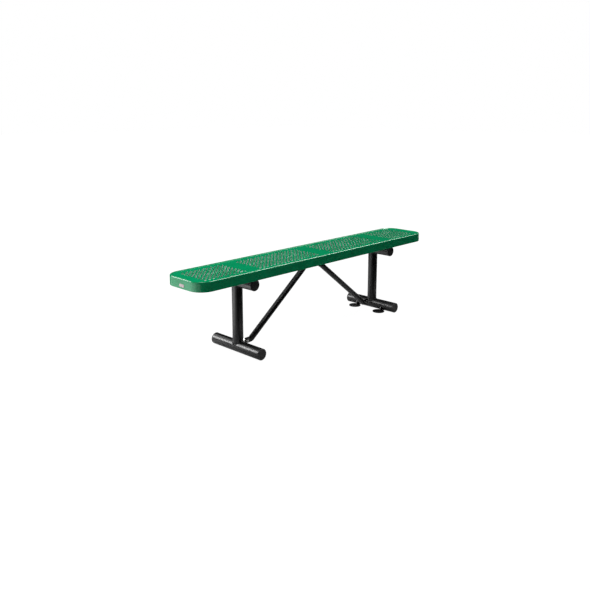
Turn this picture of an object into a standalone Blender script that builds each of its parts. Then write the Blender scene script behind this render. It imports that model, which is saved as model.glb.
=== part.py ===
"""Backless bench: a pressed steel plank on two tube legs, stiffened by two slanting braces.

X runs along the bench, Y across it with the front at -Y, and Z is up. The origin lies on the
ground under the middle of the bench. Sizes are in metres. Pieces that touch keep a gap of GAP.
"""

import math

import bmesh
import bpy
from mathutils import Vector

GAP = 0.0003
FRONT = Vector((0.0, -1.0, 0.0))
BACK = Vector((0.0, 1.0, 0.0))
UP = Vector((0.0, 0.0, 1.0))

# Plank: one pressing, open below, with a raised rim and a skirt turned down all round
SEAT_LENGTH = 1.829
SEAT_WIDTH = 0.289
SEAT_HEIGHT = 0.4572
SKIRT_HEIGHT = 0.0508
CORNER_RADIUS = 0.078
CORNER_STEPS = 7
SHEET = 0.0016
EDGE_RADIUS = 0.006
RIM_RISE = 0.004
RIM_ANGLE = math.radians(45)
RIM_FOOT_RADIUS = 0.004
BEND_STEPS = 3

# Legs: a column between a foot tube on the ground and a top tube under the plank
LEG_X = 0.5655
COLUMN_RADIUS = 0.0285
TUBE_RADIUS = 0.0302
TUBE_WALL = 0.003
TUBE_SIDES = 24
FOOT_LENGTH = 0.366
TOP_TUBE_LENGTH = 0.275
TOP_TUBE_Z = 0.3822

# Plastic plugs in the tube ends
PLUG_CAP = 0.003
PLUG_DEPTH = 0.015
PLUG_CHAMFER = 0.0007

# Cross members: hat sections across the plank, with the crown under its bare bands
HAT_CROWN = 0.056
HAT_WIDTH = 0.110
HAT_LENGTH = 0.256
HAT_SHEET = 0.003

# Stiffener: a channel, open below, along the middle of the plank and let into the cross members
STIFFENER_LENGTH = 1.760
STIFFENER_WIDTH = 0.025
STIFFENER_DEPTH = 0.026
STIFFENER_SHEET = 0.002
NOTCH_GAP = 0.0005

# Mounting plates on the top tubes, bolted up to the cross members
PLATE_THICKNESS = 0.005
PLATE_LENGTH = 0.240
SEAT_BOLT_X = 0.0425
SEAT_BOLT_Y = 0.095

# Ground discs for anchor bolts, each with a gusset up to the foot tube
DISC_RADIUS = 0.0365
DISC_THICKNESS = 0.005
DISC_OFFSET = 0.0537
DISC_Y = 0.095
ANCHOR_HOLE_RADIUS = 0.007
GUSSET_THICKNESS = 0.005
GUSSET_REACH = 0.0405
GUSSET_STEPS = 8
GUSSET_OVERLAP = 0.001

# Braces: round tubes, crushed flat and bolted at both ends
BRACE_RADIUS = 0.0159
BRACE_WALL = 0.002
BRACE_FLAT = 0.0024
BRACE_TRIM = 0.66
BRACE_END_POINTS = 8
BRACE_TOP = Vector((0.0428, 0.0, 0.386))
BRACE_KNEE = Vector((0.478, 0.0, 0.0467))
BRACE_LOW = Vector((0.506, 0.0, 0.0465))
BRACE_BEND = 0.012
BRACE_TIP = 0.014
BRACE_FLAT_RUN = 0.019
BRACE_TAPER = 0.028
TAPER_STEPS = 4

# Ears and centre bracket that the braces are bolted to, just behind the flattened ends
EAR_THICKNESS = 0.005
EAR_INNER_X = 0.4955
EAR_LOW_Z = 0.020
EAR_HIGH_Z = 0.062
EAR_CORNER = 0.010
BRACKET_LENGTH = 0.108
BRACKET_LOW_Z = 0.368
BRACKET_DEPTH = 0.042

# Fasteners: 3/8 inch hex bolts and nuts
BOLT_RADIUS = 0.00475
HEX_ACROSS_FLATS = 0.0143
HEX_POINTS = 12
HEAD_HEIGHT = 0.006
NUT_HEIGHT = 0.008
HEX_FACE = 0.95
BOLT_SPARE = 0.0025
BOLT_CHAMFER = 0.001
WASHER_RADIUS = 0.010
WASHER_THICKNESS = 0.002
WASHER_POINTS = 16
HOLE_RADIUS = 0.0053
NUT_BORE_RADIUS = 0.0051
DRILL_REACH = 0.02

# Blank plate on the left end of the skirt
LABEL_WIDTH = 0.036
LABEL_HEIGHT = 0.014
LABEL_THICKNESS = 0.0004
LABEL_Y = -0.004
LABEL_Z = 0.4235

# Heights and faces that follow from the sizes above
PANEL_TOP = SEAT_HEIGHT - RIM_RISE
PANEL_BOTTOM = PANEL_TOP - SHEET
PLATE_BOTTOM = TOP_TUBE_Z + TUBE_RADIUS + GAP
PLATE_TOP = PLATE_BOTTOM + PLATE_THICKNESS
HAT_BOTTOM = PLATE_TOP + GAP
HAT_HEIGHT = PANEL_BOTTOM - GAP - HAT_BOTTOM
EAR_FRONT_Y = BRACE_FLAT + GAP
EAR_BACK_Y = EAR_FRONT_Y + EAR_THICKNESS


def clear_scene():
    for old in list(bpy.data.objects):
        bpy.data.objects.remove(old, do_unlink=True)


def make_material(name, colour, roughness, metallic):
    material = bpy.data.materials.new(name)
    material.use_nodes = True
    shader = material.node_tree.nodes["Principled BSDF"]
    shader.inputs["Base Color"].default_value = (*colour, 1.0)
    shader.inputs["Roughness"].default_value = roughness
    shader.inputs["Metallic"].default_value = metallic
    return material


def mesh_from(bm, name):
    """A mesh with outward faces, smooth where it is round and sharp at its corners."""
    bmesh.ops.recalc_face_normals(bm, faces=bm.faces)
    mesh = bpy.data.meshes.new(name)
    bm.to_mesh(mesh)
    bm.free()
    mesh.shade_smooth()
    mesh.set_sharp_from_angle(angle=math.radians(35))
    return mesh


def place(name, mesh, material, location=(0.0, 0.0, 0.0), direction=UP, parent=None):
    """An object whose local +Z points along direction."""
    piece = bpy.data.objects.new(name, mesh)
    bpy.context.scene.collection.objects.link(piece)
    piece.location = location
    piece.rotation_euler = UP.rotation_difference(direction).to_euler()
    piece.parent = parent
    if not mesh.materials:
        mesh.materials.append(material)
    return piece


def make_empty(name, location):
    empty = bpy.data.objects.new(name, None)
    bpy.context.scene.collection.objects.link(empty)
    empty.location = location
    return empty


def combine(piece, mesh, operation, location=(0.0, 0.0, 0.0), direction=UP):
    """Joins or cuts a piece with a helper shape, placed in the space of the piece's parent."""
    helper = place(mesh.name, mesh, piece.data.materials[0], location, direction, piece.parent)
    helper.hide_render = True
    helper.display_type = "WIRE"
    boolean = piece.modifiers.new(mesh.name, "BOOLEAN")
    boolean.operation = operation
    boolean.object = helper
    boolean.solver = "EXACT"


def loft(loops, closed=False):
    """Joins rings of points with quads, and caps both ends unless the rings close on themselves."""
    bm = bmesh.new()
    rings = [[bm.verts.new(point) for point in loop] for loop in loops]
    pairs = list(zip(rings, rings[1:]))
    if closed:
        pairs.append((rings[-1], rings[0]))
    else:
        bm.faces.new(rings[0])
        bm.faces.new(rings[-1])
    for lower, upper in pairs:
        for i in range(len(lower)):
            j = (i + 1) % len(lower)
            bm.faces.new((lower[i], lower[j], upper[j], upper[i]))
    return bm


def circle(radius, z, sides):
    angles = [2 * math.pi * i / sides for i in range(sides)]
    return [(radius * math.cos(angle), radius * math.sin(angle), z) for angle in angles]


def turned(profile, sides, closed=False):
    """A body turned about Z from (radius, z) pairs."""
    return loft([circle(radius, z, sides) for radius, z in profile], closed)


def extruded(outline, low, high, axis):
    """A prism along axis 0, 1 or 2. The outline's points give the other two coordinates in order."""
    loops = []
    for height in (low, high):
        points = [list(point) for point in outline]
        for point in points:
            point.insert(axis, height)
        loops.append(points)
    return loft(loops)


def drill(piece, centres, direction):
    """Bolt holes through a piece, at centres in the space of its parent."""
    profile = [(HOLE_RADIUS, -DRILL_REACH), (HOLE_RADIUS, DRILL_REACH)]
    for number, centre in enumerate(centres, start=1):
        rod = turned(profile, WASHER_POINTS)
        mesh = mesh_from(rod, f"{piece.name}_drill_{number}")
        combine(piece, mesh, "DIFFERENCE", centre, direction)


# The plank and what is fixed to it


def rounded_rectangle(half_x, half_y, radius, z):
    """A loop of points round a rectangle with CORNER_STEPS along each corner's arc."""
    points = []
    corners = ((1, 1, 0), (-1, 1, 90), (-1, -1, 180), (1, -1, 270))
    for side_x, side_y, start in corners:
        for step in range(CORNER_STEPS + 1):
            angle = math.radians(start + 90 * step / CORNER_STEPS)
            x = side_x * (half_x - radius) + radius * math.cos(angle)
            y = side_y * (half_y - radius) + radius * math.sin(angle)
            points.append((x, y, z))
    return points


def rim_profile(offset):
    """(inset, z) pairs from the panel over the rim to the skirt, offset inwards from the outside."""
    bends_drop = (RIM_FOOT_RADIUS + EDGE_RADIUS) * (1 - math.cos(RIM_ANGLE))
    bends_run = (RIM_FOOT_RADIUS + EDGE_RADIUS) * math.sin(RIM_ANGLE)
    slope_run = (RIM_RISE - bends_drop) / math.tan(RIM_ANGLE)
    foot_inset = EDGE_RADIUS + bends_run + slope_run
    foot_radius = RIM_FOOT_RADIUS + offset
    edge_radius = EDGE_RADIUS - offset
    profile = []
    for step in range(BEND_STEPS + 1):
        angle = RIM_ANGLE * step / BEND_STEPS
        inset = foot_inset - foot_radius * math.sin(angle)
        z = PANEL_TOP + RIM_FOOT_RADIUS - foot_radius * math.cos(angle)
        profile.append((inset, z))
    for step in range(2 * BEND_STEPS + 1):
        angle = RIM_ANGLE - (RIM_ANGLE + math.pi / 2) * step / (2 * BEND_STEPS)
        inset = EDGE_RADIUS + edge_radius * math.sin(angle)
        z = SEAT_HEIGHT - EDGE_RADIUS + edge_radius * math.cos(angle)
        profile.append((inset, z))
    return profile


def seat_plank(material):
    skirt_z = SEAT_HEIGHT - SKIRT_HEIGHT
    lower_edge = [(0.0, skirt_z), (SHEET, skirt_z)]
    profile = rim_profile(0.0) + lower_edge + rim_profile(SHEET)[::-1]
    half_x = SEAT_LENGTH / 2
    half_y = SEAT_WIDTH / 2
    loops = []
    for inset, z in profile:
        loops.append(rounded_rectangle(half_x - inset, half_y - inset, CORNER_RADIUS - inset, z))
    place("seat_plank", mesh_from(loft(loops), "seat_plank"), material)


def blank_label(material):
    inner_x = -SEAT_LENGTH / 2 - GAP
    low_y = LABEL_Y - LABEL_WIDTH / 2
    high_y = LABEL_Y + LABEL_WIDTH / 2
    low_z = LABEL_Z - LABEL_HEIGHT / 2
    high_z = LABEL_Z + LABEL_HEIGHT / 2
    outline = [(low_y, low_z), (high_y, low_z), (high_y, high_z), (low_y, high_z)]
    plate = extruded(outline, inner_x - LABEL_THICKNESS, inner_x, 0)
    place("blank_label", mesh_from(plate, "blank_label"), material)


def hat_outline():
    """Half of the hat section is listed, with its brims at z = 0, and the other half mirrors it."""
    brim = HAT_WIDTH / 2
    wall = HAT_CROWN / 2
    right = [
        (wall - HAT_SHEET, HAT_HEIGHT - HAT_SHEET),
        (wall - HAT_SHEET, 0.0),
        (brim, 0.0),
        (brim, HAT_SHEET),
        (wall, HAT_SHEET),
        (wall, HAT_HEIGHT),
    ]
    return right + [(-x, z) for x, z in reversed(right)]


def stiffener(material):
    half = STIFFENER_WIDTH / 2
    top = PANEL_BOTTOM - GAP
    low = top - STIFFENER_DEPTH
    right = [
        (half - STIFFENER_SHEET, top - STIFFENER_SHEET),
        (half - STIFFENER_SHEET, low),
        (half, low),
        (half, top),
    ]
    outline = right + [(-y, z) for y, z in reversed(right)]
    channel = extruded(outline, -STIFFENER_LENGTH / 2, STIFFENER_LENGTH / 2, 0)
    place("seat_stiffener", mesh_from(channel, "seat_stiffener"), material)


def cut_notch(piece, x):
    """Makes room for the stiffener in a cross member."""
    half = STIFFENER_WIDTH / 2 + NOTCH_GAP
    low = PANEL_BOTTOM - GAP - STIFFENER_DEPTH - NOTCH_GAP
    outline = [(-half, low), (half, low), (half, PANEL_BOTTOM), (-half, PANEL_BOTTOM)]
    block = extruded(outline, -HAT_WIDTH, HAT_WIDTH, 0)
    combine(piece, mesh_from(block, f"{piece.name}_notch"), "DIFFERENCE", (x, 0.0, 0.0))


def seat_bolt_places(x, z):
    places = []
    for side in (-1, 1):
        for y in (-SEAT_BOLT_Y, SEAT_BOLT_Y):
            places.append(Vector((x + side * SEAT_BOLT_X, y, z)))
    return places


def cross_member(side, x, material):
    hat = extruded(hat_outline(), -HAT_LENGTH / 2, HAT_LENGTH / 2, 1)
    name = f"cross_member_{side}"
    piece = place(name, mesh_from(hat, name), material, (x, 0.0, HAT_BOTTOM))
    cut_notch(piece, x)
    if side != "center":
        drill(piece, seat_bolt_places(x, HAT_BOTTOM), UP)


def brace_bracket(material):
    """An angle under the middle cross member. The braces are bolted to its upright leg."""
    flange_y = EAR_FRONT_Y + BRACKET_DEPTH
    outline = [
        (EAR_FRONT_Y, BRACKET_LOW_Z),
        (EAR_BACK_Y, BRACKET_LOW_Z),
        (EAR_BACK_Y, PLATE_BOTTOM),
        (flange_y, PLATE_BOTTOM),
        (flange_y, PLATE_TOP),
        (EAR_FRONT_Y, PLATE_TOP),
    ]
    angle = extruded(outline, -BRACKET_LENGTH / 2, BRACKET_LENGTH / 2, 0)
    piece = place("brace_bracket", mesh_from(angle, "brace_bracket"), material)
    drill(piece, [Vector((side * BRACE_TOP.x, 0.0, BRACE_TOP.z)) for side in (-1, 1)], FRONT)


# The legs, each built round an empty on the ground under its column


def mount_plate(side, leg, material):
    name = f"mount_plate_{side}"
    half_x = HAT_WIDTH / 2
    half_y = PLATE_LENGTH / 2
    outline = [(-half_x, -half_y), (half_x, -half_y), (half_x, half_y), (-half_x, half_y)]
    plate = extruded(outline, PLATE_BOTTOM, PLATE_TOP, 2)
    piece = place(name, mesh_from(plate, name), material, parent=leg)
    drill(piece, seat_bolt_places(0.0, PLATE_BOTTOM), UP)


def pipe(radius, length):
    half = length / 2
    bore = radius - TUBE_WALL
    profile = [(bore, -half), (radius, -half), (radius, half), (bore, half)]
    return turned(profile, TUBE_SIDES, closed=True)


def plug_mesh():
    """A flush cap on the tube's end, with a spigot below it that fills the bore."""
    spigot = TUBE_RADIUS - TUBE_WALL - GAP
    profile = [
        (TUBE_RADIUS - PLUG_CHAMFER, PLUG_CAP),
        (TUBE_RADIUS, PLUG_CAP - PLUG_CHAMFER),
        (TUBE_RADIUS, 0.0),
        (spigot, 0.0),
        (spigot, -PLUG_DEPTH),
    ]
    return mesh_from(turned(profile, TUBE_SIDES), "tube_plug")


def plugged_tube(kind, side, leg, z, length, steel, plastic):
    """A tube across the bench, of the given length over the plugs in its ends."""
    pipe_length = length - 2 * (PLUG_CAP + GAP)
    name = f"{kind}_tube_{side}"
    tube = mesh_from(pipe(TUBE_RADIUS, pipe_length), name)
    place(name, tube, steel, (0.0, 0.0, z), FRONT, leg)
    plug = plug_mesh()
    for end, direction in (("front", FRONT), ("back", BACK)):
        location = direction * (length / 2 - PLUG_CAP) + UP * z
        place(f"{kind}_plug_{end}_{side}", plug, plastic, location, direction, leg)


def column(side, leg, material):
    """An upright tube, coped at both ends to fit round the foot tube and the top tube."""
    name = f"column_{side}"
    middle = UP * (TOP_TUBE_Z + TUBE_RADIUS) / 2
    post = mesh_from(pipe(COLUMN_RADIUS, TOP_TUBE_Z - TUBE_RADIUS), name)
    piece = place(name, post, material, middle, UP, leg)
    radius = TUBE_RADIUS + GAP
    reach = 2 * TUBE_RADIUS
    for end, z in (("foot", TUBE_RADIUS), ("top", TOP_TUBE_Z)):
        cope = turned([(radius, -reach), (radius, reach)], TUBE_SIDES)
        combine(piece, mesh_from(cope, f"{name}_cope_{end}"), "DIFFERENCE", UP * z, FRONT)


def gusset_outline(inward):
    """A rib in the XZ plane that hugs the foot tube and is sunk into the disc's top."""
    reach = TUBE_RADIUS + GAP
    foot_z = DISC_THICKNESS - GUSSET_OVERLAP
    sweep = math.asin((TUBE_RADIUS - foot_z) / reach)
    points = []
    for step in range(GUSSET_STEPS + 1):
        angle = sweep * step / GUSSET_STEPS
        x = inward * reach * math.cos(angle)
        z = TUBE_RADIUS - reach * math.sin(angle)
        points.append((x, z))
    points.append((inward * GUSSET_REACH, foot_z))
    points.append((inward * GUSSET_REACH, DISC_THICKNESS + GUSSET_OVERLAP))
    return points


def anchor_disc(name, y, leg, inward, material):
    profile = [
        (ANCHOR_HOLE_RADIUS, 0.0),
        (DISC_RADIUS, 0.0),
        (DISC_RADIUS, DISC_THICKNESS),
        (ANCHOR_HOLE_RADIUS, DISC_THICKNESS),
    ]
    disc = mesh_from(turned(profile, TUBE_SIDES, closed=True), name)
    piece = place(name, disc, material, (inward * DISC_OFFSET, y, 0.0), UP, leg)
    half = GUSSET_THICKNESS / 2
    gusset = extruded(gusset_outline(inward), y - half, y + half, 1)
    combine(piece, mesh_from(gusset, f"{name}_gusset"), "UNION")


def ear_root():
    """The ear's edge at the leg: down the column, then round the side of the foot tube."""
    column_side = COLUMN_RADIUS + GAP
    reach = TUBE_RADIUS + GAP
    start = math.acos(column_side / reach)
    end = math.asin((EAR_LOW_Z - TUBE_RADIUS) / reach)
    points = [(column_side, EAR_HIGH_Z)]
    for step in range(GUSSET_STEPS + 1):
        angle = start + (end - start) * step / GUSSET_STEPS
        points.append((reach * math.cos(angle), TUBE_RADIUS + reach * math.sin(angle)))
    return points


def brace_ear(side, leg, inward, material):
    """A plate on the column and the foot tube, round-cornered at its end for the brace's bolt."""
    inner = LEG_X - EAR_INNER_X
    points = ear_root()
    corners = ((EAR_LOW_Z + EAR_CORNER, -90), (EAR_HIGH_Z - EAR_CORNER, 0))
    for centre_z, start in corners:
        for step in range(BEND_STEPS + 1):
            angle = math.radians(start + 90 * step / BEND_STEPS)
            x = inner - EAR_CORNER + EAR_CORNER * math.cos(angle)
            points.append((x, centre_z + EAR_CORNER * math.sin(angle)))
    outline = [(inward * x, z) for x, z in points]
    name = f"brace_ear_{side}"
    ear = extruded(outline, EAR_FRONT_Y, EAR_BACK_Y, 1)
    piece = place(name, mesh_from(ear, name), material, parent=leg)
    drill(piece, [Vector((inward * (LEG_X - BRACE_LOW.x), 0.0, BRACE_LOW.z))], FRONT)


# The braces


def brace_point(along):
    """Position and direction at a distance from the top bolt, with the knee rounded off."""
    run = (BRACE_KNEE - BRACE_TOP).length
    upper = (BRACE_KNEE - BRACE_TOP) / run
    lower = (BRACE_LOW - BRACE_KNEE).normalized()
    past = along - run
    if past <= -BRACE_BEND:
        return BRACE_TOP + upper * along, upper
    if past >= BRACE_BEND:
        return BRACE_KNEE + lower * past, lower
    start = BRACE_KNEE - upper * BRACE_BEND
    end = BRACE_KNEE + lower * BRACE_BEND
    t = (past + BRACE_BEND) / (2 * BRACE_BEND)
    point = start * (1 - t) ** 2 + BRACE_KNEE * 2 * t * (1 - t) + end * t**2
    return point, (upper * (1 - t) + lower * t).normalized()


def brace_stations():
    """(distance from the top bolt, half thickness, width factor) from tip to tip."""
    tip = [(-BRACE_TIP, 0.45), (-0.8 * BRACE_TIP, 0.78), (-0.4 * BRACE_TIP, 1.0)]
    end = [(along, BRACE_FLAT, width * BRACE_TRIM) for along, width in tip]
    for step in range(TAPER_STEPS + 1):
        t = step / TAPER_STEPS
        swell = t * t * (3 - 2 * t)
        half = BRACE_FLAT + (BRACE_RADIUS - BRACE_FLAT) * swell
        width = BRACE_TRIM + (1 - BRACE_TRIM) * swell
        end.append((BRACE_FLAT_RUN + BRACE_TAPER * t, half, width))
    total = (BRACE_KNEE - BRACE_TOP).length + (BRACE_LOW - BRACE_KNEE).length
    return end + [(total - along, half, width) for along, half, width in reversed(end)]


def brace_loop(along, half, width, wall, side):
    """A ring round the brace. At width 1 its girth stays that of the round tube as it flattens."""
    centre, direction = brace_point(along)
    across = Vector((-direction.z, 0.0, direction.x))
    spread = width * math.pi * (BRACE_RADIUS - half) / 2
    radius = half - wall
    points = []
    for shift, start in ((spread, -90), (-spread, 90)):
        for step in range(BRACE_END_POINTS):
            angle = math.radians(start + 180 * (step + 0.5) / BRACE_END_POINTS)
            point = centre + across * (shift + radius * math.cos(angle))
            points.append((side * point.x, point.y + radius * math.sin(angle), point.z))
    return points


def brace(name, side, material):
    """A tube crushed flat at its ends, where its bore runs out as a thin slit."""
    outer = [brace_loop(*station, 0.0, side) for station in brace_stations()]
    inner = [brace_loop(*station, BRACE_WALL, side) for station in brace_stations()]
    piece = place(name, mesh_from(loft(outer + inner[::-1], closed=True), name), material)
    holes = [Vector((side * end.x, 0.0, end.z)) for end in (BRACE_TOP, BRACE_LOW)]
    drill(piece, holes, FRONT)


# Fasteners, with their bearing faces at z = 0 and pointing up before they are placed


def hex_loop(z, chamfer):
    """A hexagon with points at its corners and mid-flats. Chamfer 1 or -1 drops or lifts corners."""
    flat = HEX_ACROSS_FLATS / 2
    points = []
    for i in range(HEX_POINTS):
        angle = 2 * math.pi * i / HEX_POINTS
        radius = flat / math.cos(angle % (math.pi / 3) - math.pi / 6)
        drop = chamfer * (radius - flat) * math.tan(math.pi / 6)
        points.append((radius * math.cos(angle), radius * math.sin(angle), z - drop))
    return points


def bolt_mesh(length):
    face = circle(HEX_FACE * HEX_ACROSS_FLATS / 2, -HEAD_HEIGHT, HEX_POINTS)
    loops = [face, hex_loop(-HEAD_HEIGHT, -1), hex_loop(0.0, 0)]
    shank = [
        (BOLT_RADIUS, 0.0),
        (BOLT_RADIUS, length - BOLT_CHAMFER),
        (BOLT_RADIUS - BOLT_CHAMFER, length),
    ]
    for radius, z in shank:
        loops.append(circle(radius, z, HEX_POINTS))
    return mesh_from(loft(loops), "hex_bolt")


def nut_mesh():
    face = HEX_FACE * HEX_ACROSS_FLATS / 2
    loops = [
        circle(NUT_BORE_RADIUS, 0.0, HEX_POINTS),
        circle(face, 0.0, HEX_POINTS),
        hex_loop(0.0, -1),
        hex_loop(NUT_HEIGHT, 1),
        circle(face, NUT_HEIGHT, HEX_POINTS),
        circle(NUT_BORE_RADIUS, NUT_HEIGHT, HEX_POINTS),
    ]
    return mesh_from(loft(loops, closed=True), "hex_nut")


def washer_mesh():
    profile = [
        (HOLE_RADIUS, 0.0),
        (WASHER_RADIUS, 0.0),
        (WASHER_RADIUS, WASHER_THICKNESS),
        (HOLE_RADIUS, WASHER_THICKNESS),
    ]
    return mesh_from(turned(profile, WASHER_POINTS, closed=True), "washer")


def seat_fasteners(material):
    """Four bolts up through each mounting plate and cross member, with nuts on the brims."""
    head_z = PLATE_BOTTOM - GAP
    nut_z = HAT_BOTTOM + HAT_SHEET + GAP
    bolt = bolt_mesh(nut_z + NUT_HEIGHT + BOLT_SPARE - head_z)
    nut = nut_mesh()
    for side, x in (("left", -LEG_X), ("right", LEG_X)):
        for number, spot in enumerate(seat_bolt_places(x, 0.0), start=1):
            place(f"seat_bolt_{side}_{number}", bolt, material, spot + UP * head_z)
            place(f"seat_nut_{side}_{number}", nut, material, spot + UP * nut_z)


def brace_fasteners(material):
    """A bolt, washer and nut through each end of each brace, with the heads to the front."""
    washer_y = -(BRACE_FLAT + GAP + WASHER_THICKNESS)
    head_y = washer_y - GAP
    nut_y = EAR_BACK_Y + GAP
    bolt = bolt_mesh(nut_y + NUT_HEIGHT + BOLT_SPARE - head_y)
    nut = nut_mesh()
    washer = washer_mesh()
    for side, sign in (("left", -1), ("right", 1)):
        for end, joint in (("top", BRACE_TOP), ("low", BRACE_LOW)):
            spot = Vector((sign * joint.x, 0.0, joint.z))
            name = f"{end}_{side}"
            place(f"brace_bolt_{name}", bolt, material, spot + BACK * head_y, BACK)
            place(f"brace_washer_{name}", washer, material, spot + BACK * washer_y, BACK)
            place(f"brace_nut_{name}", nut, material, spot + BACK * nut_y, BACK)


def leg(side, inward, steel, plastic):
    base = make_empty(f"leg_{side}", (-inward * LEG_X, 0.0, 0.0))
    plugged_tube("foot", side, base, TUBE_RADIUS, FOOT_LENGTH, steel, plastic)
    plugged_tube("top", side, base, TOP_TUBE_Z, TOP_TUBE_LENGTH, steel, plastic)
    column(side, base, steel)
    mount_plate(side, base, steel)
    brace_ear(side, base, inward, steel)
    for end, y in (("front", -DISC_Y), ("back", DISC_Y)):
        anchor_disc(f"anchor_disc_{end}_{side}", y, base, inward, steel)


def main():
    clear_scene()
    green = make_material("green_coating", (0.0, 0.28, 0.11), 0.35, 0.0)
    black = make_material("black_powder_coat", (0.02, 0.02, 0.022), 0.4, 0.0)
    plastic = make_material("black_plastic", (0.025, 0.025, 0.027), 0.55, 0.0)
    zinc = make_material("zinc_plate", (0.62, 0.62, 0.6), 0.35, 1.0)
    galvanized = make_material("galvanized_steel", (0.5, 0.51, 0.52), 0.5, 0.0)
    foil = make_material("label_foil", (0.8, 0.72, 0.72), 0.45, 0.0)
    seat_plank(green)
    blank_label(foil)
    stiffener(galvanized)
    for side, x in (("left", -LEG_X), ("center", 0.0), ("right", LEG_X)):
        cross_member(side, x, galvanized)
    brace_bracket(black)
    leg("left", 1, black, plastic)
    leg("right", -1, black, plastic)
    brace("brace_left", -1, black)
    brace("brace_right", 1, black)
    seat_fasteners(zinc)
    brace_fasteners(zinc)


main()
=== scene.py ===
"""The finished look of a backless bench: a perforated steel plank on two braced tube legs.

X runs along the bench, Y across it with the front at -Y, and Z is up. Sizes are in metres.
Pieces are placed by the boxes of the CAD nodes; weld beads are added where those nodes meet.
"""

import math

import bmesh
import bpy
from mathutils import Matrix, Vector
from mathutils.geometry import delaunay_2d_cdt


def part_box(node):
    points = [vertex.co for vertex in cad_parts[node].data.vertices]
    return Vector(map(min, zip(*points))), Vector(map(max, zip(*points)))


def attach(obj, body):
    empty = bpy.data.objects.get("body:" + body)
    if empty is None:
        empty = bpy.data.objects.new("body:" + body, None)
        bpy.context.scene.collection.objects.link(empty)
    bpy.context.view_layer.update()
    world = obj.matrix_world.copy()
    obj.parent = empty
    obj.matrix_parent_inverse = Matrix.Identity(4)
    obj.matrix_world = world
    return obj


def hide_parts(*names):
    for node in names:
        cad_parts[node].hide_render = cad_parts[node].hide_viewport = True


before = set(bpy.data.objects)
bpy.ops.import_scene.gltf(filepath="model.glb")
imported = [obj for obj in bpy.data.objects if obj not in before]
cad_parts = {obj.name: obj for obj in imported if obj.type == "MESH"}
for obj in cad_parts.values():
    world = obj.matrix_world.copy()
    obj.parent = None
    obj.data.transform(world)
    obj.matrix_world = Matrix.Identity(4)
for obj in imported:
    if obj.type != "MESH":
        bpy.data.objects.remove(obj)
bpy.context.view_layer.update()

GAP = 0.0003
FRONT = Vector((0.0, -1.0, 0.0))
BACK = Vector((0.0, 1.0, 0.0))
UP = Vector((0.0, 0.0, 1.0))
SIDES = (("left", -1), ("right", 1))
ENDS = (("front", FRONT), ("back", BACK))
SMOOTH_ANGLE = math.radians(35)
SEAT_BOLTS = range(1, 5)

# Camera: where it stands, how far it turns from +Y and looks down, and its vertical shift
CAMERA_PLACE = (-2.7482, -2.5430, 1.2493)
CAMERA_TURN = math.radians(45.73)
CAMERA_PITCH = math.radians(11.10)
CAMERA_LENS = 40.96
CAMERA_SHIFT = -0.0932

# Plank sheet: the section of its raised rim, which slopes more gently than the CAD's, and its skirt
SHEET = 0.0016
CORNER_RADIUS = 0.078
CORNER_STEPS = 20
EDGE_RADIUS = 0.006
RIM_RISE = 0.004
RIM_ANGLE = math.radians(22)
RIM_FOOT_RADIUS = 0.004
RIM_STEPS = 6
LOWER_EDGE_STEPS = 4

# Perforation: round holes on a square lattice turned by 45 degrees, in four fields of
# (x of the first column, number of columns, rows skipped at the start of the first column)
HOLE_SPACING = 0.0127
HOLE_RADIUS = 0.00635
HOLE_SIDES = 16
HOLE_STEPS = 5
HOLE_ROWS = 16
HOLE_FIELDS = (
    (-0.84545, 21, 0),
    (-0.49075, 36, 0),
    (0.06115, 36, 1),
    (0.61325, 19, 1),
)

# Perforated panel: how the triangles between the holes are made
KEEP_INSIDE = 2
SAME_POINT = 1e-7

# Label film
LABEL_CORNER = 0.0016
LABEL_BORDER = 0.0010
LABEL_RECESS = 0.00012

# Stiffener, cross members, plates, ears and bracket
STIFFENER_SHEET = 0.002
STIFFENER_BEND = 0.003
NOTCH_GAP = 0.0005
HAT_CROWN = 0.056
HAT_SHEET = 0.003
ANGLE_SHEET = 0.005
EAR_CORNER = 0.010
PLATE_CORNER = 0.006
BEND_RADIUS = 0.004
BEND_STEPS = 5
EDGE_BEVEL = 0.0006
EDGE_STEPS = 3

# Leg tubes and plugs
TUBE_SIDES = 72
COLUMN_SIDES = 120
TUBE_WALL = 0.003
TUBE_CHAMFER = 0.0006
PLUG_CAP = 0.003
PLUG_SHOULDER = 0.0016
PLUG_DISH = 0.0006
PLUG_DISH_RADIUS = 0.019
PLUG_RIB = 0.0012
PLUG_RIBS = 3
PLUG_RIB_SHAPE = (0.4, 0.6, 0.8)
AXIS_GAP = 0.0005

# Ground discs and their ribs
DISC_THICKNESS = 0.005
DISC_OFFSET = 0.0537
ANCHOR_HOLE_RADIUS = 0.007
RIB_THICKNESS = 0.005
RIB_REACH = 0.0405
RIB_START = 0.0215
RIB_OVERLAP = 0.001
RIB_STEPS = 16

# Weld beads
BEAD_SIDES = 12
BEAD_RADIUS = 0.0030
SMALL_BEAD = 0.0022
BEAD_RIPPLE = 0.0035
BEAD_SWELL = 0.07
BEAD_END_OFFSET = 0.6
BEAD_END_FADE = 0.25
POINTS_PER_RIPPLE = 6
SHORTEST_PATH = 4
SADDLE_POINTS = 420

# Braces: round tubes crushed flat at both ends, bent once near the foot
BRACE_RADIUS = 0.0159
BRACE_WALL = 0.002
BRACE_FLAT = 0.0024
BRACE_TRIM = 0.66
TIP_WIDTH = 0.45
TIP_WIDTH_POWER = 0.5
TIP_REACH_POWER = 0.8
KNEE_RUN = 0.028
KNEE_RISE = 0.0002
BRACE_BEND = 0.012
BRACE_TIP = 0.014
BRACE_FLAT_RUN = 0.019
BRACE_TAPER = 0.028
BRACE_END_STEPS = 14
TIP_STEPS = 6
TAPER_STEPS = 14
KNEE_STEPS = 10

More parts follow.
